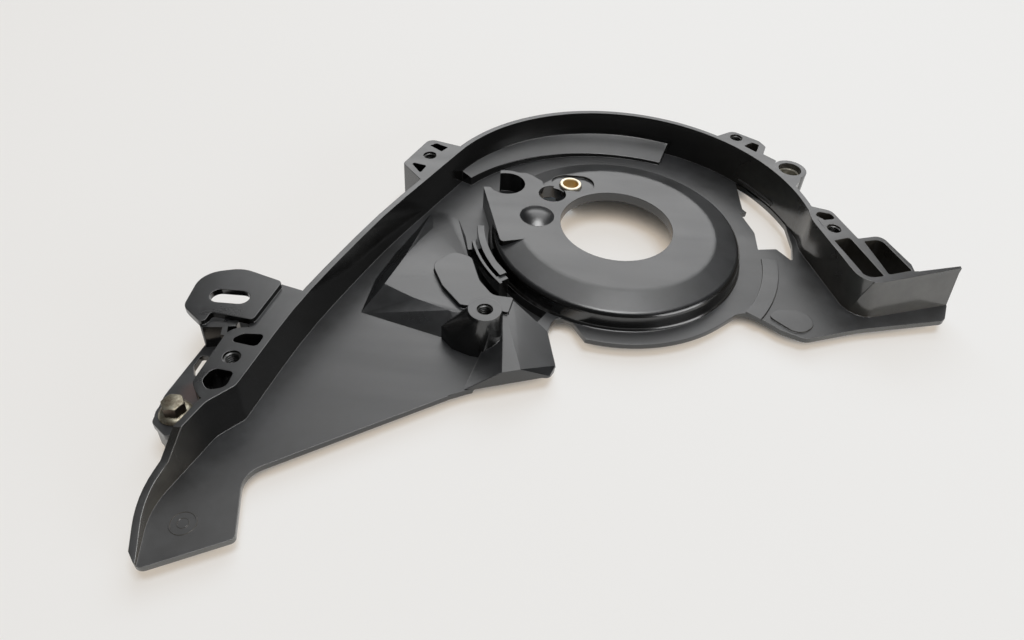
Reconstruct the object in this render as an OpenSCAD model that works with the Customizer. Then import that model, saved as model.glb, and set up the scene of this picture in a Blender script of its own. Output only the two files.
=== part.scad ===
// Rear timing cover of an engine, lying on its back with the open side up.
// One black moulding carries a dished plate round the cam hole, a rim wall
// and screw bosses; metal sleeves and one captive bolt sit in it.
// Origin on the cam hole's axis, in the plane of the dish's flat top.

/* [Plan] */
// Length of the whole cover; every outline and place in plan follows it
cover_l = 305.5; // [265:0.5:350]

/* [Levels] */
// Height of the dish's flat top above the floor
dish_h = 11; // [9:0.5:13]
// Height of the rim wall above the floor
wall_h = 18; // [16:0.5:24]
// Thickness of the floor and of the dish
skin_t = 2.5; // [2:0.1:3]
// Thickness of the rim wall
wall_t = 2.6; // [2:0.1:3.2]
// How far the fixing bosses stand out behind the floor
standoff_h = 4.5; // [2:0.5:8]
// Diameter of the plain feet behind the floor
foot_d = 10; // [7:0.5:12]

/* [Cam dish] */
// Diameter of the cam hole
cam_hole_d = 50; // [44:1:54]
// Depth of the collar round the cam hole
collar_h = 4.5; // [3.5:0.5:7]
// Wall of the collar round the cam hole
collar_t = 2.4; // [2:0.1:3]
// Radius of the dish's flat top
plateau_r = 43.5; // [41:0.5:46]
// Radius of the dish at its foot
dish_r = 56; // [54.5:0.5:57.5]
// Radius of the rounded shoulder of the dish
shoulder_r = 3; // [2.5:0.5:5]
// Drop of the sloping ring from the flat top to the shoulder
shoulder_drop = 3.5; // [2:0.25:4.5]
// Radius of the flange round the dish
flange_r = 64; // [62.5:0.5:66]
// Diameter of the sensor hole
sensor_d = 12.5; // [10:0.25:13]
// Diameter of the round pocket at the corner of the dish
pocket_d = 17; // [14:0.5:18]
// Diameter of the domed bump on the dish
dome_d = 17; // [13:0.5:17.5]
// Height of the domed bump
dome_h = 2.6; // [1.5:0.1:4]

/* [Rim] */
// Inside radius of the wall over the dish
rim_r = 84.7; // [83.5:0.1:87]
// Height of the crescent ledge above the floor
ledge_h = 6; // [4.5:0.5:7]
// Depth of the groove beside the dish, below the floor
groove_h = 4.5; // [2:0.25:4.5]
// Width of the groove beside the dish
groove_w = 10.6; // [9.5:0.1:11.5]
// Height of the fixing lug at the right, measured down from the rim
lug_h = 9.5; // [7:0.5:14]

/* [Screw bosses] */
// Diameter of the tapped holes for the front cover's screws
tap_d = 6; // [4.5:0.25:6.5]
// Depth of the tapped holes
tap_depth = 14; // [10:0.5:15]
// Outside diameter of the free-standing post
post_d = 13; // [12:0.5:15]
// Taper of the post from top to floor, on the radius
post_taper = 1.6; // [0.5:0.1:2]
// Depth of the cored pockets in the bosses
core_depth = 12; // [8:0.5:14]

/* [Sleeves] */
// Outside diameter of the sleeves in the dish and in the lug
sleeve_d = 10.4; // [9.5:0.1:11]
// Length of the sleeve in the dish
dish_sleeve_l = 9; // [7:0.5:12]
// Bore of the sleeve in the dish
dish_bore_d = 6.8; // [6:0.1:8]
// Bore of the sleeve in the lug
lug_bore_d = 8; // [6:0.1:8.4]
// How far the sleeve lies below the face of the lug
lug_recess = 2.5; // [1:0.25:4]
// Depth of the oblong recess round the sleeve in the dish
recess_h = 1.2; // [0.6:0.1:1.6]
// Wall of the bosses round the sleeves
boss_wall = 2.6; // [2:0.1:3.2]
// Wall of the boss behind the dish, which leaves the sensor hole clear
dish_boss_wall = 1.2; // [1:0.05:1.25]
// Room between a sleeve and its hole, on the radius
sleeve_fit = 0.05; // [0.02:0.01:0.1]

/* [Strap and bolt] */
// Thread diameter of the captive bolt
bolt_d = 5; // [4:0.1:5.2]
// Length of the bolt under its head
bolt_l = 14; // [10:0.5:14]
// Width of the hexagon across flats
hex_af = 7; // [6:0.1:8]
// Height of the hexagon above the bolt's flange
hex_h = 4.2; // [3:0.1:5]
// Diameter of the bolt's flange
bolt_flange_d = 11.4; // [10:0.1:12.5]
// Thickness of the bolt's flange
bolt_flange_t = 1.6; // [1:0.1:2]
// Wall of the sleeve round the bolt
bolt_sleeve_t = 1.5; // [1:0.1:2]
// Room between the bolt and its sleeve, on the radius
bolt_room = 0.3; // [0.2:0.05:0.5]
// Height of the strap's face above the floor
strap_h = 8; // [7:0.5:10]
// Thickness of the strap and of the slotted ear
strap_t = 2.6; // [2:0.1:3.2]
// Rise of the slotted ear above the rim
ear_rise = 2; // [1:0.25:2.5]
// Width of the ear's slot
slot_w = 7; // [5:0.25:8]
// Length of the ear's slot
slot_l = 14.5; // [11:0.5:17]

/* [Hidden] */
$fn = 96;

// Heights of the main faces
floor_z = -dish_h;
back_z = floor_z - skin_t;
seat_z = back_z - standoff_h;
top_z = floor_z + wall_h;
strap_z = floor_z + strap_h;
ear_z = top_z + ear_rise;
tongue_z = -2.5;
groove_z = floor_z - groove_h;
groove_skin = 2;
hill_z = tongue_z - 2;

// Overlap of solids that are joined, and reach of a cut past a face
bite = 0.6;
past = 1;

// Scale of the outlines and places below, which are written for the usual length
plan = cover_l / 305.5;

// Places of the holes and bosses in plan
rim_at = plan * [2.5, 2.2];
dish_sleeve_at = plan * [-20.5, 30];
sensor_at = plan * [-29, 20.5];
pocket_at = plan * [-50.5, 26];
dome_at = plan * [-35.5, 2];
strap_bolt_at = plan * [-152.8, -122.4];
post_at = plan * [-53.4, -69.5];
clip_tap_at = plan * [-87.5, 33.6];
side_tap_at = plan * [95, 1];
block_tap_at = plan * [-138, -104];
slot_at = plan * [-147, -76];
foot_at = plan * [83, -33];

// Places that follow the round part of the rim: angle and distance outside it
top_tap_at = on_rim(49.7, plan * 8.1);
lug_at = on_rim(28.7, plan * 8.9);

// Sizes that follow from others
cam_r = cam_hole_d / 2;
sleeve_hole_r = sleeve_d / 2 + sleeve_fit;
boss_r = sleeve_hole_r + boss_wall;
dish_boss_r = sleeve_hole_r + dish_boss_wall;
bolt_bore_r = bolt_d / 2 + bolt_room;
bolt_sleeve_r = bolt_bore_r + bolt_sleeve_t;
bolt_boss_r = bolt_sleeve_r + sleeve_fit + boss_wall;

// How far the straight pieces of a rounded corner may stray from the true curve
chord_off = 0.03;

function arc_step(r) = max(3, min(20, 2 * acos(1 - chord_off / max(r, 0.1))));
function on_rim(angle, out) = rim_at + (rim_r + out) * [cos(angle), sin(angle)];
function flat(p) = [p[0], p[1]];
function unit(v) = v / norm(v);
function turned(v, a) = [v[0] * cos(a) - v[1] * sin(a), v[0] * sin(a) + v[1] * cos(a)];

// Points that round the corner b between a and c; its radius is b's third number
function corner(a, b, c) =
    let (u = unit(flat(a) - flat(b)),
         v = unit(flat(c) - flat(b)),
         half = acos(max(-1, min(1, u * v))) / 2,
         room = 0.48 * min(norm(flat(a) - flat(b)), norm(flat(c) - flat(b))),
         reach = min(b[2] / tan(half), room),
         r = reach * tan(half))
    r < 0.05 || half > 89.5 ? [flat(b)] :
    let (m = flat(b) + unit(u + v) * r / sin(half),
         turn = (cross(-u, v) > 0 ? 1 : -1) * (180 - 2 * half),
         n = ceil(abs(turn) / arc_step(r)))
    [for (i = [0:n]) m + turned(flat(b) + u * reach - m, turn * i / n)];

// A closed outline with its corners rounded; a corner is [x, y, radius]
function rounded(p) =
    let (n = len(p))
    [for (i = [0:n - 1]) each corner(p[(i + n - 1) % n], p[i], p[(i + 1) % n])];

// Points along an arc, as sharp corners of an outline
function arc(m, r, a0, a1) =
    let (n = ceil(abs(a1 - a0) / arc_step(r)))
    [for (i = [0:n]) [m[0] + r * cos(a0 + (a1 - a0) * i / n), m[1] + r * sin(a0 + (a1 - a0) * i / n), 0]];

// Inner line of the rim wall, closed well in front of the cover
inside_line = concat(
    plan * [[160, -14.2, 0], [98.8, -37.2, 9], [86.3, 6.5, 20]],
    arc(rim_at, rim_r, 8, 154),
    plan * [[-101, -17, 400], [-122, -72, 300], [-132.6, -116.5, 4], [-140, -124.6, 8],
     [-151.3, -155, 30], [-147.6, -176, 0], [-140, -230, 0], [160, -230, 0]]);

// Front edge of the floor, closed well behind the cover
front_line = concat(
    plan * [[-220, -130, 0], [-160, -150, 0], [-152, -169.5, 3], [-147.5, -175.2, 3], [-122, -162.5, 2],
     [-126.8, -138.6, 9], [-58, -94.5, 60], [-27, -83.5, 4],
     [-24.8, -79, 4], [-28.5, -60.5, 2], [-26, -52.5, 4],
     [-19.5, -51.5, 4]],
    arc([0, 0], flange_r, 258, 311),
    plan * [[54, -37.5, 7], [68, -48.5, 5], [77, -52.5, 6], [101, -43.8, 60], [139.5, -34, 4],
     [143.8, -24, 0], [143.8, 200, 0], [-220, 200, 0]]);

// Window through the floor between the flange and the wall
window_line = concat(
    plan * [[64.5, 36.5, 1], [66.5, 34, 0.5], [63, 32.5, 0.5], [67.5, 18, 8], [67, 5, 0.5],
            [75.5, 6.5, 0.5]],
    plan * [[81.5, -1.8, 0.8], [83.6, 10, 6]],
    arc(rim_at, rim_r - 0.5, 16, 42.5));

// Bosses outside the wall
clip_line = plan * [[-86, 9, 0], [-98.8, 25, 2], [-89.5, 48, 4], [-72, 43, 0], [-68, 36, 0]];
top_line = [for (c = [[56, -1, 0], [54.5, 3, 2], [52.6, 12.5, 4], [44, 14.6, 3], [41, 13, 1.5],
                      [38.6, 6.5, 1], [34, 8, 1], [31, -1, 0]]) [each on_rim(c[0], plan * c[1]), plan * c[2]]];
lug_web = [for (c = [[33.5, -1, 0], [33, 9, 1], [28.7, 9, 0], [23.5, 9, 2], [18, -1, 0]])
    [each on_rim(c[0], plan * c[1]), plan * c[2]]];
side_line = plan * [[86.6, 17.5, 0], [97, 14.6, 4], [104, -5, 0.5], [115, -1.5, 4], [125, -27, 0],
                    [100, -37, 5]];
block_line = plan * [[-122, -86, 0], [-135, -88.5, 3], [-143, -90.5, 5], [-147.3, -117, 5], [-141.5, -125, 3],
                     [-130, -112, 0]];

// Cored pockets in the bosses
clip_cores = plan * [[[-88.5, 42, 0.5], [-86, 44.5, 1], [-80, 41.5, 0.5], [-82.5, 37.5, 0.5]],
              [[-95.5, 26.5, 0.8], [-88, 24.5, 0.8], [-90, 18.5, 0.5]]];
top_cores = plan * [[[65.5, 65.5, 0.5], [70, 69.5, 1], [73, 67.5, 0.8], [70.5, 60.5, 0.5]]];
side_cores = plan * [[[88.3, 10, 1.5], [91, 13, 2], [96, 12, 1.5], [97.5, 8.5, 1.5], [92, 7, 1.5]],
              [[92.8, -8, 0.5], [100.3, -4.8, 1.5], [108.3, -29.8, 0.8], [100.5, -32, 4]],
              [[106.2, -6.8, 0.8], [114, -4.5, 3], [121.3, -24.6, 0.8], [110.8, -28.6, 0.8]]];
block_cores = plan * [[[-141.5, -96.5, 1.5], [-137.5, -92.5, 2], [-130, -92, 1.5], [-131, -98.3, 2]],
               [[-144.4, -115.5, 3], [-142.6, -109.8, 2.5], [-135.3, -110.8, 1.5], [-135.8, -117.5, 3],
                [-141.3, -119.8, 3]]];

// Corner platform of the dish, tongue and low forms on the floor
platform_line = plan * [[-61, 21.3, 0.4], [-57.3, 7, 20], [-50.5, -18.5, 1.5], [-40.5, -15.5, 0],
                        [-30, 10, 0], [-34, 30, 0], [-41, 36, 4], [-56, 36, 4]];
tongue_line = plan * [[-64, -57.5, 0.5], [-72.2, -47, 8], [-78, -34, 6], [-70, -24.5, 5], [-62, -27.5, 4],
                      [-57.5, -42, 8], [-51.5, -50.5, 5], [-43, -51, 1], [-44.5, -60, 1]];
hill_foot = plan * [[-103.9, -58.3], [-69.7, -68.9], [-60, -70], [-58, -58], [-62.5, -30], [-67, -2],
                    [-72, 12], [-83.9, 15.2], [-96.2, -18.7], [-101.5, -36.3]];
hill_crest = plan * [[-95.4, -47, -4.5], [-82.3, -53.6, -4.5], [-67.6, -59.3, -4.5], [-60, -60, -4.5],
                     [-60, -56, -4.5], [-62.5, -30, -4.8], [-67, -4, -10.3], [-78, 12, -10.6], [-80.5, 8, -10],
                     [-81.5, -2.8, -8], [-86.4, -15.2, -6.5], [-89.8, -26.2, -5.5]];
sheet_foot = plan * [[-59, -95], [-27, -84], [-24.8, -79], [-28.6, -61.2], [-33, -59.4], [-38, -56.4],
                     [-43.2, -50.5], [-47, -56], [-46.5, -74]];
sheet_crest = plan * [[-44.8, -89.6, -5], [-38.5, -87.3, -5.3], [-43, -51, -4.6], [-46.5, -57, -3.6],
                      [-38, -57, -6.2], [-33, -60, -8], [-28.8, -61.8, -9.6], [-25.3, -79, -10.5]];

// The strap behind the boss block, and the slotted ear above it
ear_line = plan * [[-152, -91.5, 2], [-161.8, -83, 5], [-161.3, -64.3, 12], [-147, -59.6, 12],
                   [-130.3, -65.5, 2], [-135.3, -87.3, 2], [-143, -86, 1], [-151, -85, 1]];
strip_line = plan * [[-117.5, -66, 0], [-122.5, -67.5, 2], [-131, -65, 0], [-137, -88.5, 0], [-126, -92, 0]];
strap_line = plan * [[-141.5, -88, 0], [-138.8, -81, 0.5], [-139.5, -73, 1.5], [-157.5, -72.5, 2],
                     [-157.3, -77, 0.5], [-155.8, -83, 1], [-153.8, -90, 0.5], [-159.5, -116, 2], [-159.4, -127, 2.5],
                     [-152.8, -132.4, 2.5], [-143.5, -129, 0], [-141, -118, 0]];
strap_gap = plan * [[-153.4, -95.5, 1], [-154.2, -101, 1.2], [-152.6, -105, 1.2], [-147.5, -106.5, 0.5],
                    [-145.5, -96, 0.5]];

// Hollow cut out of the back of the right-hand plate, so that it thins towards its end
plate_cut = plan * [[122.5, -25.2], [147, -17.8], [147, -5], [122.5, -5]];
// Foot and top of the inner face of the right-hand plate, which leans back
plate_foot = plan * [[97.1, -29.8], [98.7, -32.5], [101.4, -34.6], [104.8, -35.7], [108.2, -35.6],
                     [143.8, -23.6], [143.8, -19.2], [106, -33]];
plate_top = plan * [[103, -34.9], [143.7, -19.8], [143.7, -19.2], [103, -33.5]];

module prism(line, z0, z1) translate([0, 0, z0]) linear_extrude(z1 - z0) polygon(rounded(line));
module rod(at, r, z0, z1) translate([at[0], at[1], z0]) cylinder(r = r, h = z1 - z0);

module inside() polygon(rounded(inside_line));
module front_limit() polygon(rounded(front_line));

// Floor and rim wall, cut off along the front edge; the wall runs down to the floor at the left tip
module tray() {
    tip_wall_end = plan * -135.5;
    difference() {
        intersection() {
            union() {
                translate([0, 0, back_z]) linear_extrude(skin_t) offset(delta = wall_t / 2) inside();
                translate([0, 0, back_z]) linear_extrude(skin_t + wall_h) difference() {
                    offset(delta = wall_t) inside();
                    inside();
                }
            }
            translate([0, 0, back_z - past]) linear_extrude(skin_t + wall_h + 2 * past) front_limit();
        }
        translate(plan * [-180, 0, 0]) rotate([90, 0, 90]) linear_extrude(plan * 50)
            polygon([[tip_wall_end, top_z + past], [tip_wall_end, top_z],
                     [tip_wall_end - plan * 8, floor_z + wall_h * 0.567],
                     [tip_wall_end - plan * 37, floor_z + wall_h / 15],
                     [tip_wall_end - plan * 80, floor_z + wall_h / 15], [tip_wall_end - plan * 80, top_z + past]]);
    }
}

// Section through the wall of the dish, from the collar of the cam hole to its foot
function dish_section() = rounded([
    [cam_r, 0, 0], [plateau_r, 0, 8], [dish_r - 0.6, -shoulder_drop, shoulder_r], [dish_r, floor_z + 1, 0],
    [dish_r + 0.8, floor_z, 0], [dish_r + 0.8, floor_z - bite, 0], [dish_r, back_z, 0],
    [dish_r - skin_t, back_z, 0],
    [dish_r - 0.6 - skin_t, -shoulder_drop - skin_t, shoulder_r / 2], [plateau_r - 0.5, -skin_t, 4],
    [cam_r + collar_t, -skin_t, 0.5], [cam_r + collar_t, -collar_h, 0.6], [cam_r, -collar_h, 0]]);

// The raised corner of the dish, hollow behind
module platform(z0, z1, inset) {
    translate([0, 0, z0]) linear_extrude(z1 - z0) offset(delta = -inset) polygon(rounded(platform_line));
}

// Ledge along the wall's foot over the dish; its top slopes down from the wall
module crescent() {
    ledge_w = 30;
    fall = 0.34;
    ledge_z = floor_z + ledge_h;
    intersection() {
        translate([0, 0, floor_z - bite]) linear_extrude(ledge_h + wall_t) difference() {
            intersection() {
                offset(delta = wall_t / 2) inside();
                polygon(rounded(plan * [[0, 0, 0], [36, 96, 0], [-30, 130, 0], [-110, 62, 0]]));
            }
            translate(plan * [1, -10.5]) circle(r = rim_r - 0.2);
        }
        translate([rim_at[0], rim_at[1], 0]) rotate_extrude() polygon([
            [rim_r - ledge_w, back_z], [rim_r + wall_t, back_z], [rim_r + wall_t, ledge_z + wall_t * fall],
            [rim_r - ledge_w, ledge_z - ledge_w * fall]]);
    }
}

// Low forms with sloping sides, from their foot on the floor to the points of their crest
module slope(foot, crest) {
    hull() {
        translate([0, 0, floor_z - bite]) linear_extrude(bite / 2) polygon(foot);
        for (p = crest) translate([p[0], p[1], p[2] - bite]) cylinder(r = bite / 2, h = bite, $fn = 8);
    }
}
module hill() slope(hill_foot, hill_crest);
module sheet() slope(sheet_foot, sheet_crest);

module cores(lines) for (line = lines) prism(line, top_z - core_depth, top_z + past);
module tap(at) rod(at, tap_d / 2, top_z - tap_depth, top_z + past);

// A band that runs round the cam hole's axis, from one angle to another
module arc_band(r0, r1, z0, z1, a0, a1) {
    rotate([0, 0, a0]) rotate_extrude(angle = a1 - a0) polygon([[r0, z0], [r1, z0], [r1, z1], [r0, z1]]);
}
module arc_rib(r0, r1, z1, a0, a1) arc_band(r0, r1, floor_z - bite, z1, a0, a1);

// Groove between the dish and the tongue, sunk below the floor, with two ribs standing in it
module groove_trough() {
    arc_band(dish_r - skin_t / 2, dish_r + groove_w + groove_skin, groove_z - groove_skin, floor_z - bite, 189, 241);
}
module groove_cut() arc_band(dish_r + 1, dish_r + groove_w, groove_z, floor_z + 0.2, 190.6, 239.4);
module groove_ribs() {
    arc_band(dish_r + groove_w * 0.245, dish_r + groove_w * 0.547, groove_z - bite, tongue_z - 0.5, 184, 217);
    arc_band(dish_r + groove_w * 0.717, dish_r + groove_w * 0.849, groove_z - bite, tongue_z - 0.5, 194, 221);
    arc_band(dish_r + groove_w * 0.3, dish_r + groove_w * 0.8, groove_z - bite / 2, tongue_z - 1.5, 216.4, 219.5);
}

module floor_forms() {
    crescent();
    arc_rib(flange_r + 3, flange_r + 10, floor_z + 0.8, -36, -2);
    prism(plan * [[63.5, -41, 2], [68, -36, 3], [79, -35.5, 6], [83, -44, 6], [74.5, -51, 6]],
          floor_z - bite, floor_z + 0.8);
    prism(tongue_line, floor_z - bite, tongue_z);
    hill();
    sheet();
    translate([rim_at[0], rim_at[1], 0])
        arc_band(rim_r - 0.9, rim_r + wall_t / 2, floor_z + 1.2, floor_z + 3, 26, 42);
    hull() {
        translate([0, 0, floor_z - bite]) linear_extrude(bite / 2) polygon(plate_foot);
        translate([0, 0, top_z - bite]) linear_extrude(bite) polygon(plate_top);
    }
}

// Free-standing post, with a flat buttress spreading to its left
module post() {
    translate([post_at[0], post_at[1], back_z])
        cylinder(r1 = post_d / 2 + post_taper, r2 = post_d / 2, h = top_z - back_z);
    hull() {
        translate([0, 0, floor_z - bite]) linear_extrude(hill_z - floor_z + bite) polygon(plan * [
            [-69.9, -68.7], [-65.2, -74.2], [-58, -77.2], [-52.6, -77.8], [-52.6, -62], [-61.5, -59]]);
        translate([post_at[0], post_at[1], top_z - bite - 1]) cylinder(d = post_d - 0.4, h = bite);
    }
}

// A boss outside the wall, ending in the middle of the wall's thickness
module boss(line, z0) {
    translate([0, 0, z0]) linear_extrude(top_z - z0) difference() {
        polygon(rounded(line));
        offset(delta = wall_t / 2) inside();
    }
}

module bosses() {
    boss(clip_line, back_z);
    boss(top_line, back_z);
    boss([for (a = [0:15:345]) [lug_at[0] + boss_r * cos(a), lug_at[1] + boss_r * sin(a), 0]], top_z - lug_h);
    boss(lug_web, top_z - lug_h);
    boss(side_line, back_z);
    boss(block_line, back_z);
    post();
    rod(foot_at, foot_d / 2, seat_z, floor_z);
    rod(post_at, foot_d / 2, seat_z, floor_z);
}

module strap_and_ear() {
    prism(strap_line, strap_z - strap_t, strap_z);
    rod(strap_bolt_at, bolt_boss_r, seat_z, strap_z);
    prism(plan * [[-146, -117, 0], [-159, -117, 2], [-159, -127, 3], [-152.5, -131.5, 3], [-144, -128, 0]],
          back_z, strap_z);
    boss(strip_line, top_z - 3);
    prism(ear_line, ear_z - strap_t, ear_z);
    prism(plan * [[-141, -86, 0], [-141, -89, 0], [-153.2, -91.3, 1], [-154.5, -88.5, 0.5]],
          strap_z - strap_t, ear_z - strap_t + bite);
    prism(plan * [[-147.3, -80, 0], [-145.3, -80, 0], [-143, -94, 0], [-145, -94, 0]],
          strap_z - bite, ear_z - strap_t + bite);
}

module cover() {
    color([0.11, 0.11, 0.115]) difference() {
        union() {
            difference() {
                union() {
                    tray();
                    floor_forms();
                    groove_trough();
                }
                groove_cut();
                translate([0, 0, -skin_t]) hill();
                translate([0, 0, -skin_t]) sheet();
                translate([0, 0, back_z - past]) cylinder(r = dish_r - skin_t / 2, h = skin_t + 2 * past);
            }
            difference() {
                union() {
                    rotate_extrude() polygon(dish_section());
                    difference() {
                        platform(floor_z - bite, 0, 0);
                        rod([0, 0], plateau_r, back_z - past, -skin_t);
                    }
                }
                platform(back_z - past, -skin_t, skin_t);
            }
            groove_ribs();
            rod(pocket_at, pocket_d / 2 + skin_t, back_z, 0);
            rod(sensor_at, sensor_d * 0.62, -collar_h - 2, 0);
            rod(dish_sleeve_at, dish_boss_r, -dish_sleeve_l, -recess_h);
            translate([dome_at[0], dome_at[1], -bite]) intersection() {
                dome_ball_r = (pow(dome_d / 2, 2) + pow(dome_h + bite, 2)) / (2 * (dome_h + bite));
                cylinder(r = dome_d, h = dome_h + 2 * bite);
                translate([0, 0, dome_h + bite - dome_ball_r]) sphere(r = dome_ball_r);
            }
            bosses();
            strap_and_ear();
        }
        prism(window_line, seat_z - past, floor_z + past);
        rod([0, 0], cam_r, -collar_h - past, dome_h + past);
        rod(sensor_at, sensor_d / 2, back_z - past, past);
        rod(pocket_at, pocket_d / 2, floor_z + 1, past);
        prism(plan * [[-66, 21.6, 0], [-54, 21.6, 0], [-54, 37, 0], [-66, 37, 0]], floor_z, past);
        prism(plan * [[-29.5, 37, 6.5], [-29.5, 24, 6.5], [-9.5, 24, 6.5], [-9.5, 37, 6.5]], -recess_h, past);
        rod(dish_sleeve_at, sleeve_hole_r, -dish_sleeve_l - past, past);
        rod(lug_at, sleeve_hole_r, top_z - lug_h - past, top_z + past);
        translate([0, 0, floor_z]) linear_extrude(wall_h + past) polygon(plate_cut);
        rod(strap_bolt_at, bolt_sleeve_r + sleeve_fit, seat_z - past, strap_z + past);
        prism(strap_gap, back_z - past, strap_z + past);
        cores(clip_cores);
        cores(top_cores);
        cores(side_cores);
        cores(block_cores);
        for (at = [clip_tap_at, top_tap_at, side_tap_at, block_tap_at, post_at]) tap(at);
        translate([slot_at[0], slot_at[1], ear_z - strap_t - past]) linear_extrude(strap_t + 2 * past) union() {
            for (s = [-1, 1]) translate([s * (slot_l - slot_w) / 2, 0]) circle(d = slot_w);
            square([slot_l - slot_w, slot_w], center = true);
        }
    }
}

// Plain tube with its lower end at z0
module sleeve(at, d, bore_d, z0, z1) {
    translate([at[0], at[1], z0]) difference() {
        cylinder(d = d, h = z1 - z0);
        translate([0, 0, -past]) cylinder(d = bore_d, h = z1 - z0 + 2 * past);
    }
}

module dish_sleeve() color([0.85, 0.83, 0.76]) sleeve(dish_sleeve_at, sleeve_d, dish_bore_d, -dish_sleeve_l, 0);

module lug_sleeve() {
    color([0.72, 0.7, 0.64]) sleeve(lug_at, sleeve_d, lug_bore_d, top_z - lug_h, top_z - lug_recess);
}

module strap_sleeve() {
    color([0.6, 0.58, 0.5]) sleeve(strap_bolt_at, 2 * bolt_sleeve_r, 2 * bolt_bore_r, seat_z, strap_z);
}

// Hexagon bolt with a flange, standing on the strap's sleeve
module strap_bolt() {
    color([0.52, 0.5, 0.38]) translate([strap_bolt_at[0], strap_bolt_at[1], strap_z]) {
        translate([0, 0, -bolt_l]) cylinder(d = bolt_d, h = bolt_l + bite);
        cylinder(d1 = bolt_flange_d, d2 = hex_af * 1.2, h = bolt_flange_t);
        cylinder(d = hex_af / cos(30), h = bolt_flange_t + hex_h, $fn = 6);
    }
}

cover();
dish_sleeve();
lug_sleeve();
strap_sleeve();
strap_bolt();
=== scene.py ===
# Rear timing cover of an engine, laid on its back on a pale bench.
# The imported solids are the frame; every piece below sits where they are, in metres.
import math
import bmesh
import bpy
import numpy as np
from mathutils import Matrix, Vector
from mathutils.bvhtree import BVHTree
from mathutils.kdtree import KDTree


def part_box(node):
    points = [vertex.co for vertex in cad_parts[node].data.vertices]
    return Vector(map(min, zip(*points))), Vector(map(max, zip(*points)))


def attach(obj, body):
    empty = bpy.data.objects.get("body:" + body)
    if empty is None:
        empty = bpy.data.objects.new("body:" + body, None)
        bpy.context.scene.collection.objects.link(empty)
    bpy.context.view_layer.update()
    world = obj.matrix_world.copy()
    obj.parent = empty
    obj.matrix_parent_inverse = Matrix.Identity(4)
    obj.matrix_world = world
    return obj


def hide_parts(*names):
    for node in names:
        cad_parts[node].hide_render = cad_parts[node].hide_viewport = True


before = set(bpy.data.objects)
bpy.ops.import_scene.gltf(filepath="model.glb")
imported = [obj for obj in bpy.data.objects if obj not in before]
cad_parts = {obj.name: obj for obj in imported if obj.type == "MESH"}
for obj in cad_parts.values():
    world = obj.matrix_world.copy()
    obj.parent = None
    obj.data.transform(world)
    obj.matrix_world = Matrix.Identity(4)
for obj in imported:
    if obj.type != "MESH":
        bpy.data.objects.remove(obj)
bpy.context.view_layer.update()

# Camera
# A phone held in front of the bench and above it, looking down at the open side
# of the cover, a little off level.
MM = 0.001
view_pitch = math.radians(43.32)
view_roll = math.radians(4.66)
eye = Vector((-42.9, -290.2, 210.6)) * MM
level_right = Vector((1, 0, 0))
level_up = Vector((0, math.sin(view_pitch), math.cos(view_pitch)))
towards_eye = Vector((0, -math.cos(view_pitch), math.sin(view_pitch)))
image_right = math.cos(view_roll) * level_right + math.sin(view_roll) * level_up
image_up = math.cos(view_roll) * level_up - math.sin(view_roll) * level_right
camera_turn = Matrix((image_right, image_up, towards_eye)).transposed().to_4x4()
camera_data = bpy.data.cameras.new("bench_camera")
camera_data.sensor_fit = "HORIZONTAL"
camera_data.sensor_width = 36
camera_data.lens = 28.125
camera_data.clip_start = 10 * MM
camera = bpy.data.objects.new("bench_camera", camera_data)
camera.matrix_world = Matrix.Translation(eye) @ camera_turn
bpy.context.scene.collection.objects.link(camera)
bpy.context.scene.camera = camera


# Cover
# One moulding of black glass-filled plastic: floor, rim wall, dish round the cam hole,
# screw bosses, strap and slotted ear. Its edges carry the small radius of the mould.
def node_copy(name):
    """The node's own triangles as a closed mesh with flat areas joined up."""
    mesh = bmesh.new()
    mesh.from_mesh(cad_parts[name].data)
    bmesh.ops.remove_doubles(mesh, verts=mesh.verts, dist=0.01 * MM)
    bmesh.ops.dissolve_limit(mesh, angle_limit=math.radians(0.5), use_dissolve_boundaries=False,
                             verts=mesh.verts, edges=mesh.edges)
    return mesh


def crossings(face):
    """Corners of a flat face whose outline runs across itself."""
    steepest = max(range(3), key=lambda k: abs(face.normal[k]))
    u, v = [i for i in range(3) if i != steepest]
    corners = list(face.verts)
    a = np.array([[c.co[u], c.co[v]] for c in corners])
    b = np.roll(a, -1, axis=0)

    def side(p, q, r):
        edge_run = q - p
        point_run = r - p
        return edge_run[..., 0] * point_run[..., 1] - edge_run[..., 1] * point_run[..., 0]

    p, q, r, t = a[:, None], b[:, None], a[None], b[None]
    hit = (side(p, q, r) * side(p, q, t) < 0) & (side(r, t, p) * side(r, t, q) < 0)
    return [corners[i].co.copy() for i in sorted(set(np.argwhere(hit).ravel()))]


def faults(mesh, surface, reach):
    """Points where a rounded edge has left the moulding's own surface, turned over or run across itself."""
    small_area = 1e-11
    least_agreement = 0.1
    found = []
    for v in mesh.verts:
        if surface.find_nearest(v.co)[3] > reach:
            found.append(v.co.copy())
            found += [e.other_vert(v).co.copy() for e in v.link_edges]
    for f in mesh.faces:
        if len(f.verts) > 6:
            found += crossings(f)
        elif f.calc_area() > small_area:
            own_normal = surface.find_nearest(f.calc_center_median())[1]
            if own_normal.dot(f.normal) < least_agreement:
                found += [v.co.copy() for v in f.verts]
    return found


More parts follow.
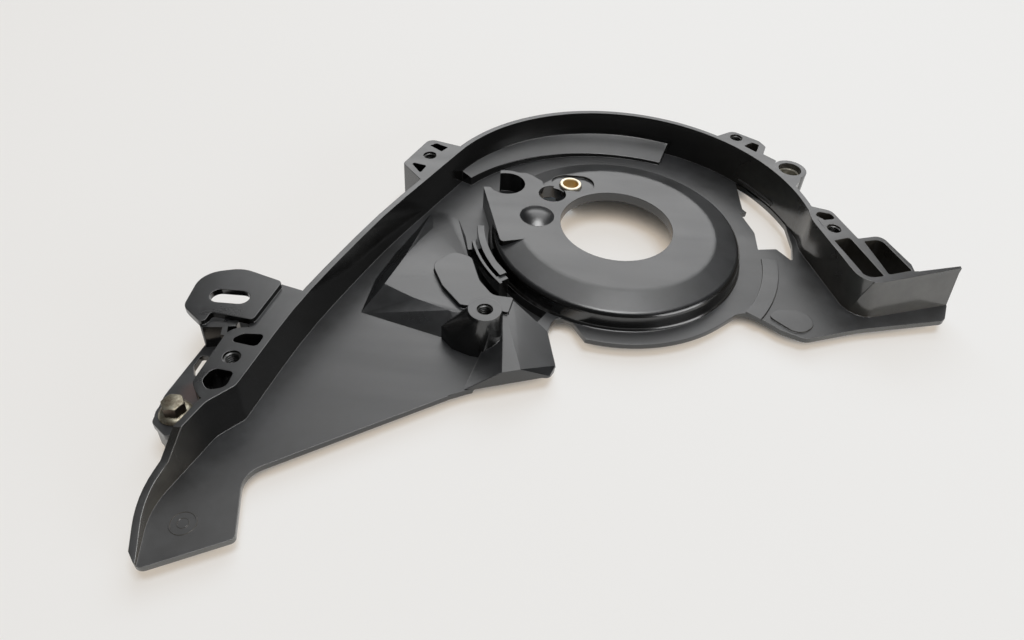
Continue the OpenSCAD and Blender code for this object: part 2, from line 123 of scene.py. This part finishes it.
def round_edges(name, radius, crisp_angle, rounds):
    """Rounds a node's crisp edges; an edge that can't be rounded cleanly stays crisp."""
    plain = node_copy(name)
    surface = BVHTree.FromBMesh(plain)
    plain.edges.ensure_lookup_table()
    kept_crisp = set()
    for attempt in range(rounds):
        mesh = plain.copy()
        mesh.edges.ensure_lookup_table()
        # Marks the rounded strips, which the plastic paints paler, partly as wear and partly as a painted
        # highlight.
        strip_layer = mesh.faces.layers.float.new("rounded_edge_strip")
        chosen = [e for e in mesh.edges if e.index not in kept_crisp and len(e.link_faces) == 2
                  and e.calc_face_angle(0) > crisp_angle]
        strips = bmesh.ops.bevel(mesh, geom=chosen, offset=radius, offset_type="OFFSET", segments=2,
                                 profile=0.5, affect="EDGES", clamp_overlap=False, loop_slide=True,
                                 material=-1)["faces"]
        for f in strips:
            f[strip_layer] = 1
        mesh.normal_update()
        wrong = faults(mesh, surface, 0.6 * radius)
        if not wrong or attempt == rounds - 1:
            break
        mesh.free()
        near = KDTree(len(wrong))
        for i, point in enumerate(wrong):
            near.insert(point, i)
        near.balance()
        for e in plain.edges:
            a, b = e.verts[0].co, e.verts[1].co
            if min(near.find(c)[2] for c in (a, b, (a + b) / 2)) < 2.5 * radius:
                kept_crisp.add(e.index)
    plain.free()
    return mesh


def piece_from(mesh, name, material, slot, *replaced):
    """Makes a finished piece of a mesh that is already in place, and hangs it on the body."""
    soft_angle = math.radians(38)
    crease_angle = math.radians(20)
    wall_tilt = 0.4
    strip_layer = mesh.faces.layers.float.get("rounded_edge_strip")
    for f in mesh.faces:
        f.smooth = True
    for e in mesh.edges:
        rounded = strip_layer is None or any(f[strip_layer] for f in e.link_faces)
        on_wall = all(abs(f.normal.z) < wall_tilt for f in e.link_faces)
        limit = soft_angle if rounded or on_wall else crease_angle
        e.smooth = len(e.link_faces) == 2 and e.calc_face_angle(0) < limit
    data = bpy.data.meshes.new(name)
    mesh.to_mesh(data)
    mesh.free()
    data.materials.append(material)
    piece = bpy.data.objects.new(name, data)
    bpy.context.scene.collection.objects.link(piece)
    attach(piece, "root")
    if replaced:
        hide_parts(*replaced)
    return piece


def new_material(name):
    """A material with its node tree and its plain shader."""
    material = bpy.data.materials.new(name)
    material.use_nodes = True
    tree = material.node_tree
    return material, tree, tree.nodes["Principled BSDF"]


def add_node(tree, kind, **settings):
    """A new node of a tree, with its settings."""
    node = tree.nodes.new(kind)
    for key, value in settings.items():
        setattr(node, key, value)
    return node


def noise(tree, place, scale, detail, roughness=0.5):
    """A cloudy pattern in space."""
    node = add_node(tree, "ShaderNodeTexNoise")
    node.inputs["Scale"].default_value = scale
    node.inputs["Detail"].default_value = detail
    node.inputs["Roughness"].default_value = roughness
    tree.links.new(place, node.inputs["Vector"])
    return node.outputs["Fac"]


def mapped(tree, place, **settings):
    """A place that is moved, turned or stretched."""
    node = add_node(tree, "ShaderNodeMapping")
    for key, value in settings.items():
        node.inputs[key].default_value = value
    tree.links.new(place, node.inputs["Vector"])
    return node.outputs["Vector"]


def parts_of(tree, vector):
    """The three parts of a place or a direction."""
    node = add_node(tree, "ShaderNodeSeparateXYZ")
    tree.links.new(vector, node.inputs["Vector"])
    return node.outputs


def ranged(tree, value, source, result, smooth=False):
    """Maps a value from one range to another and holds it at both ends."""
    node = add_node(tree, "ShaderNodeMapRange", interpolation_type="SMOOTHSTEP" if smooth else "LINEAR")
    for key, number in zip(("From Min", "From Max", "To Min", "To Max"), (*source, *result)):
        node.inputs[key].default_value = number
    tree.links.new(value, node.inputs["Value"])
    return node.outputs["Result"]


def calculated(tree, operation, *terms):
    """A sum done on values; each term is an output or a plain number."""
    node = add_node(tree, "ShaderNodeMath", operation=operation)
    for socket, term in zip(node.inputs, terms):
        if isinstance(term, (int, float)):
            socket.default_value = term
        else:
            tree.links.new(term, socket)
    return node.outputs["Value"]


def distance_from(tree, place, centre, scale=(1, 1, 1)):
    """How far a place lies from a centre."""
    offset = mapped(tree, place, Location=[-c for c in centre], Scale=scale)
    node = add_node(tree, "ShaderNodeVectorMath", operation="LENGTH")
    tree.links.new(offset, node.inputs[0])
    return node.outputs["Value"]


def ramp(tree, value, *stops):
    """A ramp through colours, each given with its position."""
    node = add_node(tree, "ShaderNodeValToRGB")
    elements = node.color_ramp.elements
    for position, colour in stops[1:-1]:
        elements.new(position).color = (*colour, 1)
    for end in (0, -1):
        elements[end].position = stops[end][0]
        elements[end].color = (*stops[end][1], 1)
    tree.links.new(value, node.inputs["Fac"])
    return node.outputs["Color"]


def mixed(tree, share, under, colour):
    """A colour laid over what is there already, by a share."""
    node = add_node(tree, "ShaderNodeMix", data_type="RGBA")
    node.inputs["B"].default_value = (*colour, 1)
    tree.links.new(share, node.inputs["Factor"])
    tree.links.new(under, node.inputs["A"])
    return node.outputs["Result"]


def relief(tree, shader, pattern, strength, depth):
    """Gives a shader's face a fine relief."""
    node = add_node(tree, "ShaderNodeBump")
    node.inputs["Strength"].default_value = strength
    node.inputs["Distance"].default_value = depth
    tree.links.new(pattern, node.inputs["Height"])
    tree.links.new(node.outputs["Normal"], shader.inputs["Normal"])


# Grain, mottle and streaks of a moulded face, and the dust that settles on what faces up.
grain_group = bpy.data.node_groups.new("moulded_grain", "ShaderNodeTree")
for socket_name in ("Place", "Facing"):
    grain_group.interface.new_socket(socket_name, in_out="INPUT", socket_type="NodeSocketVector")
for socket_name in ("Grain", "Mottle", "Streaks", "Dust", "Level"):
    grain_group.interface.new_socket(socket_name, in_out="OUTPUT", socket_type="NodeSocketFloat")
grain_in = add_node(grain_group, "NodeGroupInput").outputs
grain_out = add_node(grain_group, "NodeGroupOutput").inputs
fine = noise(grain_group, grain_in["Place"], 2600, 2)
mottle = noise(grain_group, grain_in["Place"], 42, 6, 0.62)
flow = mapped(grain_group, grain_in["Place"], Rotation=(0, 0, math.radians(34)), Scale=(0.3, 1.6, 1))
streaks = noise(grain_group, flow, 55, 5)
specks = ranged(grain_group, noise(grain_group, grain_in["Place"], 420, 3), (0.35, 0.7), (0.7, 1))
patches = ranged(grain_group, mottle, (0.3, 0.7), (0.1, 1))
level = ranged(grain_group, parts_of(grain_group, grain_in["Facing"])["Z"], (0.55, 0.98), (0, 1), smooth=True)
settled = calculated(grain_group, "MULTIPLY", level, patches)
dust = calculated(grain_group, "MULTIPLY", settled, specks)
grain_results = {"Grain": fine, "Mottle": mottle, "Streaks": streaks, "Dust": dust, "Level": level}
for socket_name, value in grain_results.items():
    grain_group.links.new(value, grain_out[socket_name])


def grained(tree):
    """Adds the moulded grain to a material; gives the place on the piece and the grain's outputs."""
    place = add_node(tree, "ShaderNodeTexCoord").outputs["Object"]
    facing = add_node(tree, "ShaderNodeNewGeometry").outputs["Normal"]
    group = add_node(tree, "ShaderNodeGroup", node_tree=grain_group)
    tree.links.new(place, group.inputs["Place"])
    tree.links.new(facing, group.inputs["Facing"])
    return place, group.outputs


plastic_ior = 1.6
plastic, p_tree, p_shader = new_material("black_moulded_plastic")
p_shader.inputs["IOR"].default_value = plastic_ior
p_shader.inputs["Specular IOR Level"].default_value = 0.8
place, grain = grained(p_tree)
bare = ramp(p_tree, grain["Mottle"], (0.3, (0.003, 0.0029, 0.0027)), (0.72, (0.007, 0.0066, 0.006)))
film_share = calculated(p_tree, "MULTIPLY", grain["Dust"], 0.22)
filmed = mixed(p_tree, film_share, bare, (0.07, 0.079, 0.092))
# The rounded edges are painted a little paler: partly rubbing from handling, partly a painted highlight where
# the edges catch the light.
edge = add_node(p_tree, "ShaderNodeAttribute", attribute_name="rounded_edge_strip").outputs["Fac"]
rub_and_highlight_streaks = ranged(p_tree, grain["Streaks"], (0.38, 0.68), (0, 0.75))
rub_and_highlight_share = calculated(p_tree, "MULTIPLY", rub_and_highlight_streaks, edge)
rubbed_and_highlit = mixed(p_tree, rub_and_highlight_share, filmed, (0.06, 0.059, 0.057))
# Brown on the upright faces at both ends is partly road dust clinging there and partly painted light, for the
# light those faces catch from the bench and the lamps.
along = parts_of(p_tree, place)
right_end = ranged(p_tree, along["X"], (30 * MM, 90 * MM), (0, 1.15), smooth=True)
left_end = ranged(p_tree, along["Y"], (-125 * MM, -150 * MM), (0, 1.7), smooth=True)
at_end = calculated(p_tree, "MAXIMUM", right_end, left_end)
upright = ranged(p_tree, grain["Level"], (0, 1), (0.62, 0.05))
# Painted light and dust: only upright faces near the ends get the brown.
dust_and_painted_light_mask = calculated(p_tree, "MULTIPLY", at_end, upright)
dust_and_painted_light_share = calculated(p_tree, "MULTIPLY", dust_and_painted_light_mask, grain["Mottle"])
browned_and_lit = mixed(p_tree, dust_and_painted_light_share, rubbed_and_highlit, (0.16, 0.145, 0.122))
# Rust from the captive bolt has stained the strap beside it.
stain_reach = distance_from(p_tree, place, Vector((-150.2, -113.2, -3)) * MM)
stain_fade = ranged(p_tree, stain_reach, (1.5 * MM, 6.5 * MM), (1, 0), smooth=True)
stain_share = calculated(p_tree, "MULTIPLY", stain_fade, grain["Streaks"])
rusted = mixed(p_tree, stain_share, browned_and_lit, (0.11, 0.042, 0.03))
p_tree.links.new(rusted, p_shader.inputs["Base Color"])
# Upright faces are glossy. Level ones are duller the deeper they lie, save where the belt's
# run has polished the floor near the post.
sheen = ranged(p_tree, grain["Streaks"], (0.3, 0.7), (0.12, 0.2))
dusted = calculated(p_tree, "MULTIPLY_ADD", grain["Dust"], 0.08, sheen)
height_share = ranged(p_tree, along["Z"], (-11.2 * MM, 7 * MM), (0, 1))
depth = ramp(p_tree, height_share, (0.015, (1, 1, 1)), (0.035, (0.6, 0.6, 0.6)), (1, (0, 0, 0)))
run_reach = distance_from(p_tree, place, Vector((-80, -44, -11)) * MM)
off_run = ranged(p_tree, run_reach, (12 * MM, 42 * MM), (0.3, 1), smooth=True)
dull_depth = calculated(p_tree, "MULTIPLY", depth, off_run)
dull_level = calculated(p_tree, "MULTIPLY_ADD", dull_depth, 0.12, 0.12)
finish = calculated(p_tree, "MULTIPLY_ADD", grain["Level"], dull_level, dusted)
p_tree.links.new(finish, p_shader.inputs["Roughness"])
relief(p_tree, p_shader, grain["Grain"], 0.12, 0.08 * MM)

mould_radius = 0.3 * MM
rounded_cover = round_edges("cover", mould_radius, math.radians(32), 7)
cover = piece_from(rounded_cover, "cover_moulding", plastic, "cover_plastic", "cover")
even = cover.modifiers.new("even_shading", "WEIGHTED_NORMAL")
even.keep_sharp = True
even.weight = 80


# Thread turns
# The five screw bosses are threaded for the front cover's screws. The thread is cut straight
# into the plastic, so each is a spiral ridge that stands out of the wall of its hole.
def thread_turns(mesh, place, top, bottom, root, tip, pitch):
    """Adds a spiral ridge round an upright axis; root and tip are its radii, top and bottom its ends."""
    turn_steps = 24
    turns = (top - bottom) / pitch
    foot = 0.42 * pitch
    crest = 0.12 * pitch
    outline = [(root, top + foot), (root, top - foot), (tip, top - crest), (tip, top + crest)]
    corners = [mesh.verts.new((place[0] + r, place[1], z)) for r, z in outline]
    sides = [mesh.edges.new((corners[i - 1], corners[i])) for i in range(4)]
    bmesh.ops.spin(mesh, geom=corners + sides, cent=(place[0], place[1], 0), axis=(0, 0, 1),
                   dvec=(0, 0, -pitch / turn_steps), angle=2 * math.pi * turns,
                   steps=round(turn_steps * turns))
    bmesh.ops.holes_fill(mesh, edges=[e for e in mesh.edges if e.is_boundary], sides=4)
    bmesh.ops.recalc_face_normals(mesh, faces=mesh.faces)


rim_top = 7 * MM
thread_top = rim_top - 1.1 * MM
thread_bottom = rim_top - 12.5 * MM
screw_places = ((-53.4, -69.5), (-87.5, 33.6), (62.52, 72.98), (95, 1), (-138, -104))
screw_threads = bmesh.new()
for x, y in screw_places:
    thread_turns(screw_threads, (x * MM, y * MM), thread_top, thread_bottom, 3.08 * MM, 2.5 * MM, MM)
cut_plastic, c_tree, c_shader = new_material("cut_plastic_thread")
c_shader.inputs["IOR"].default_value = plastic_ior
c_grain = grained(c_tree)[1]
c_tone = ramp(c_tree, c_grain["Streaks"], (0.3, (0.012, 0.012, 0.0115)), (0.7, (0.045, 0.044, 0.041)))
c_tree.links.new(c_tone, c_shader.inputs["Base Color"])
c_sheen = ranged(c_tree, c_grain["Mottle"], (0, 1), (0.22, 0.42))
c_tree.links.new(c_sheen, c_shader.inputs["Roughness"])
piece_from(screw_threads, "screw_threads", cut_plastic, "cover_plastic")


# Mould mark
# A round insert in the mould has left a plain pair of rings near the cover's left tip,
# part of the moulding itself.
def turned_piece(mesh, profile, place, steps):
    """Turns a closed outline of (radius, height) points right round an upright axis."""
    corners = [mesh.verts.new((place[0] + r, place[1], z)) for r, z in profile]
    sides = [mesh.edges.new((corners[i - 1], corners[i])) for i in range(len(corners))]
    bmesh.ops.spin(mesh, geom=corners + sides, cent=(place[0], place[1], 0), axis=(0, 0, 1),
                   angle=2 * math.pi, steps=steps, use_merge=True)
    bmesh.ops.remove_doubles(mesh, verts=mesh.verts, dist=0.0001 * MM)
    bmesh.ops.recalc_face_normals(mesh, faces=mesh.faces)


floor_top = -11 * MM
ring_root = floor_top - 0.2 * MM
ring_draft = 0.2 * MM
mark_place = (-139.4 * MM, -158.6 * MM)
mark_rings = ((3.7 * MM, 4.5 * MM, 0.22 * MM), (1.5 * MM, 2.1 * MM, 0.16 * MM))
mould_mark = bmesh.new()
for inner, outer, ring_height in mark_rings:
    ring_top = floor_top + ring_height
    ring = [(inner, ring_root), (outer, ring_root),
            (outer - ring_draft, ring_top), (inner + ring_draft, ring_top)]
    turned_piece(mould_mark, ring, mark_place, 48)
piece_from(mould_mark, "mould_mark", plastic, "cover_plastic")


# Sleeves
# Plain steel tubes pressed into the plastic where a bolt clamps it: one in the dish, one in
# the lug at the right and one under the strap's bolt. Cut from tube and chamfered at both ends.
def sleeve_piece(node, bore, chamfer):
    """A chamfered tube exactly where the node is, and the place of its axis."""
    low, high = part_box(node)
    place = ((low.x + high.x) / 2, (low.y + high.y) / 2)
    outer = (high.x - low.x) / 2
    mesh = bmesh.new()
    turned_piece(mesh, [(bore, low.z + chamfer), (bore + chamfer, low.z), (outer - chamfer, low.z),
                        (outer, low.z + chamfer), (outer, high.z - chamfer), (outer - chamfer, high.z),
                        (bore + chamfer, high.z), (bore, high.z - chamfer)], place, 72)
    return mesh, place


# Tarnish and fine scratches of plated steel, shared by the sleeves and the bolt.
tarnish_group = bpy.data.node_groups.new("plated_tarnish", "ShaderNodeTree")
tarnish_group.interface.new_socket("Place", in_out="INPUT", socket_type="NodeSocketVector")
for socket_name in ("Stain", "Scratches"):
    tarnish_group.interface.new_socket(socket_name, in_out="OUTPUT", socket_type="NodeSocketFloat")
tarnish_in = add_node(tarnish_group, "NodeGroupInput").outputs
tarnish_out = add_node(tarnish_group, "NodeGroupOutput").inputs
stain = noise(tarnish_group, tarnish_in["Place"], 380, 6, 0.65)
turning = mapped(tarnish_group, tarnish_in["Place"], Scale=(0.35, 0.35, 4))
tarnish_group.links.new(stain, tarnish_out["Stain"])
tarnish_group.links.new(noise(tarnish_group, turning, 900, 3), tarnish_out["Scratches"])


def plated_steel(name, clean, stained, metallic, gloss,
                 bore_place=None, bore=0.0, bore_colour=None, side_shade_colour=None):
    """Plated steel with a blotchy tarnish; the bore may have a colour of its own, and the upright sides may
    be painted darker as painted shade.
    """
    material, tree, shader = new_material(name)
    shader.inputs["Metallic"].default_value = metallic
    at = add_node(tree, "ShaderNodeTexCoord").outputs["Object"]
    group = add_node(tree, "ShaderNodeGroup", node_tree=tarnish_group)
    tree.links.new(at, group.inputs["Place"])
    tarnish = group.outputs
    painted = ramp(tree, tarnish["Stain"], (0.36, clean), (0.66, stained))
    if bore_place:
        radius = distance_from(tree, at, (*bore_place, 0), scale=(1, 1, 0))
        inside = ranged(tree, radius, (bore + 0.15 * MM, bore + 0.55 * MM), (1, 0))
        painted = mixed(tree, inside, painted, bore_colour)
    # Painted shade: upright sides are darkened the more they turn away from facing up.
    if side_shade_colour:
        facing = add_node(tree, "ShaderNodeNewGeometry").outputs["Normal"]
        shaded_side = ranged(tree, parts_of(tree, facing)["Z"], (0.15, 0.55), (0.8, 0))
        painted = mixed(tree, shaded_side, painted, side_shade_colour)
    tree.links.new(painted, shader.inputs["Base Color"])
    tree.links.new(ranged(tree, tarnish["Stain"], (0.3, 0.7), gloss), shader.inputs["Roughness"])
    relief(tree, shader, tarnish["Scratches"], 0.15, 0.04 * MM)
    return material


dish_bore = 3.4 * MM
lug_bore = 4 * MM
strap_bore = 2.8 * MM
dish_tube, dish_place = sleeve_piece("dish_sleeve", dish_bore, 0.35 * MM)
bright_plating = plated_steel("bright_plated_sleeve", (0.78, 0.72, 0.6), (0.66, 0.58, 0.44), 0.8, (0.3, 0.42),
                              dish_place, dish_bore, bore_colour=(0.86, 0.66, 0.34))
piece_from(dish_tube, "dish_tube", bright_plating, "bright_sleeve", "dish_sleeve")
dull_plating = plated_steel("dull_plated_sleeve", (0.42, 0.4, 0.34), (0.24, 0.22, 0.17), 0.7, (0.38, 0.58))
lug_tube = sleeve_piece("lug_sleeve", lug_bore, 0.3 * MM)[0]
piece_from(lug_tube, "lug_tube", dull_plating, "dull_sleeve", "lug_sleeve")
strap_tube = sleeve_piece("strap_sleeve", strap_bore, 0.25 * MM)[0]
piece_from(strap_tube, "strap_tube", dull_plating, "dull_sleeve", "strap_sleeve")

# Strap bolt
# A small hexagon bolt with a flange, forged in yellow zinc-plated steel. It stays captive in the
# strap's sleeve; its plating has gone dull and a little rusty.
bolt_low, bolt_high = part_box("strap_bolt")
bolt_place = ((bolt_low.x + bolt_high.x) / 2, (bolt_low.y + bolt_high.y) / 2)
axis_r = 0.02 * MM
flange_r = (bolt_high.x - bolt_low.x) / 2
seat = -3 * MM
flange_base = seat + 0.02 * MM
flange_top = seat + 1.6 * MM
hex_r = 3.5 * MM
hex_corner_r = hex_r / math.cos(math.pi / 6)
shank_r = 2.5 * MM
plain_r = shank_r - 0.05 * MM
thread_core_r = shank_r - 0.35 * MM
bolt = bmesh.new()
turned_piece(bolt, [(axis_r, bolt_low.z), (shank_r - 0.7 * MM, bolt_low.z),
                    (thread_core_r, bolt_low.z + 0.5 * MM), (thread_core_r, seat - 2 * MM),
                    (plain_r, seat - 1.6 * MM), (plain_r, flange_base),
                    (flange_r - 0.35 * MM, flange_base), (flange_r, seat + 0.3 * MM),
                    (flange_r - 0.15 * MM, seat + 0.62 * MM), (hex_r * 1.2, flange_top),
                    (axis_r, flange_top)], bolt_place, 64)
thread_turns(bolt, bolt_place, seat - 2.4 * MM, bolt_low.z + 0.7 * MM,
             shank_r - 0.45 * MM, shank_r - 0.02 * MM, 0.8 * MM)
# The head is a hexagon whose corners are turned down to a cone by cuts all round.
head = bmesh.new()
head_base = flange_top - 0.4 * MM
head_middle = (bolt_high.z + head_base) / 2
bmesh.ops.create_cone(head, cap_ends=True, segments=6, radius1=hex_corner_r, radius2=hex_corner_r,
                      depth=bolt_high.z - head_base)
bmesh.ops.rotate(head, cent=(0, 0, 0), matrix=Matrix.Rotation(math.radians(30), 3, "Z"), verts=head.verts)
bmesh.ops.translate(head, vec=(*bolt_place, head_middle), verts=head.verts)
cuts = 36
for k in range(cuts):
    around = 2 * math.pi * k / cuts
    outward = Vector((math.cos(around), math.sin(around), 0))
    touch = Vector((*bolt_place, bolt_high.z)) + 0.94 * hex_r * outward
    slope = (0.5 * outward + Vector((0, 0, 0.87))).normalized()
    bmesh.ops.bisect_plane(head, geom=head.verts[:] + head.edges[:] + head.faces[:], plane_co=touch,
                           plane_no=slope, clear_outer=True)
    bmesh.ops.holes_fill(head, edges=[e for e in head.edges if e.is_boundary], sides=0)
bmesh.ops.recalc_face_normals(head, faces=head.faces)
hex_corners = [e for e in head.edges if len(e.link_faces) == 2 and math.radians(50) < e.calc_face_angle(0)]
bmesh.ops.bevel(head, geom=hex_corners, offset=0.12 * MM, offset_type="OFFSET", segments=2, profile=0.5,
                affect="EDGES", material=-1)
head_data = bpy.data.meshes.new("bolt_head")
head.to_mesh(head_data)
head.free()
bolt.from_mesh(head_data)
bpy.data.meshes.remove(head_data)
# The bolt's upright sides are painted dark brown as painted shade; the tarnish is the plating's own dulling
# and rust.
zinc = plated_steel("dull_yellow_zinc", (0.36, 0.34, 0.265), (0.12, 0.09, 0.06), 0.8, (0.3, 0.55),
                    side_shade_colour=(0.075, 0.048, 0.036))
piece_from(bolt, "flange_bolt", zinc, "zinc_bolt", "strap_bolt")

# Floor
# A plain pale bench top that the cover's back rests on. Its paint has a weak glow of its own
# where the camera or a shiny face sees it, so that shadows on it stay light; the glow is warm
# and the paint cool, so those shadows are painted warm. The glow fades close to the cover,
# a painted shadow under and beside it.
floor_half = 3
floor_gap = 0.2 * MM
floor_mesh = bmesh.new()
bmesh.ops.create_grid(floor_mesh, x_segments=1, y_segments=1, size=floor_half)
bmesh.ops.translate(floor_mesh, vec=(0, 0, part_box("cover")[0].z - floor_gap), verts=floor_mesh.verts)
floor_data = bpy.data.meshes.new("bench_top")
floor_mesh.to_mesh(floor_data)
floor_mesh.free()
bench_paint = bpy.data.materials.new("bench_white")
bench_paint.use_nodes = True
b_tree = bench_paint.node_tree
b_tree.nodes.clear()
b_out = add_node(b_tree, "ShaderNodeOutputMaterial")
paint = add_node(b_tree, "ShaderNodeBsdfDiffuse")
paint.inputs["Color"].default_value = (0.72, 0.86, 1, 1)
glow = add_node(b_tree, "ShaderNodeEmission")
glow.inputs["Color"].default_value = (0.935, 0.81, 0.67, 1)
seen = add_node(b_tree, "ShaderNodeLightPath").outputs
camera_or_shine = calculated(b_tree, "MAXIMUM", seen["Is Camera Ray"], seen["Is Glossy Ray"])
in_sight = calculated(b_tree, "MAXIMUM", camera_or_shine, seen["Is Transmission Ray"])
# Painted shadow: the glow gives way to the plain paint where the cover hides the sky nearby.
open_sky = add_node(b_tree, "ShaderNodeAmbientOcclusion", samples=24)
open_sky.inputs["Distance"].default_value = 45 * MM
open_share = ranged(b_tree, open_sky.outputs["AO"], (0.06, 0.33), (0, 0.55), smooth=True)
glow_share = calculated(b_tree, "MULTIPLY", in_sight, open_share)
blend = add_node(b_tree, "ShaderNodeMixShader")
b_tree.links.new(glow_share, blend.inputs["Fac"])
b_tree.links.new(paint.outputs["BSDF"], blend.inputs[1])
b_tree.links.new(glow.outputs["Emission"], blend.inputs[2])
b_tree.links.new(blend.outputs["Shader"], b_out.inputs["Surface"])
floor_data.materials.append(bench_paint)
bench = bpy.data.objects.new("bench_top", floor_data)
bpy.context.scene.collection.objects.link(bench)


# Light
# A broad soft lamp behind the cover with a dimmer one above it, a third overhead, a weak one
# low at the front right, and a dim even room round them.
def soft_lamp(name, place, aim, width, height, power):
    """A rectangular lamp turned to face the aim."""
    data = bpy.data.lights.new(name, "AREA")
    data.shape = "RECTANGLE"
    data.size = width
    data.size_y = height
    data.energy = power
    lamp = bpy.data.objects.new(name, data)
    turn = (Vector(place) - Vector(aim)).to_track_quat("Z", "Y").to_matrix().to_4x4()
    lamp.matrix_world = Matrix.Translation(place) @ turn
    bpy.context.scene.collection.objects.link(lamp)


cover_middle = (0, -0.02, 0)
right_part = (0.1, -0.02, 0)
soft_lamp("back_lamp", (0.06, 1.54, 1.1), cover_middle, width=1.7, height=0.75, power=10.8)
soft_lamp("high_lamp", (0.15, 0.92, 1.66), cover_middle, width=1.6, height=0.85, power=8)
soft_lamp("top_lamp", (0.15, -0.2, 1.9), cover_middle, width=0.9, height=0.8, power=21)
soft_lamp("front_lamp", (1.2, -0.75, 0.35), right_part, width=1.0, height=0.6, power=7)
room = bpy.data.worlds.new("room")
room.use_nodes = True
room_light = room.node_tree.nodes["Background"]
room_light.inputs["Color"].default_value = (0.95, 0.97, 1, 1)
room_light.inputs["Strength"].default_value = 0.05
bpy.context.scene.world = room
bpy.context.scene.view_settings.view_transform = "Standard"
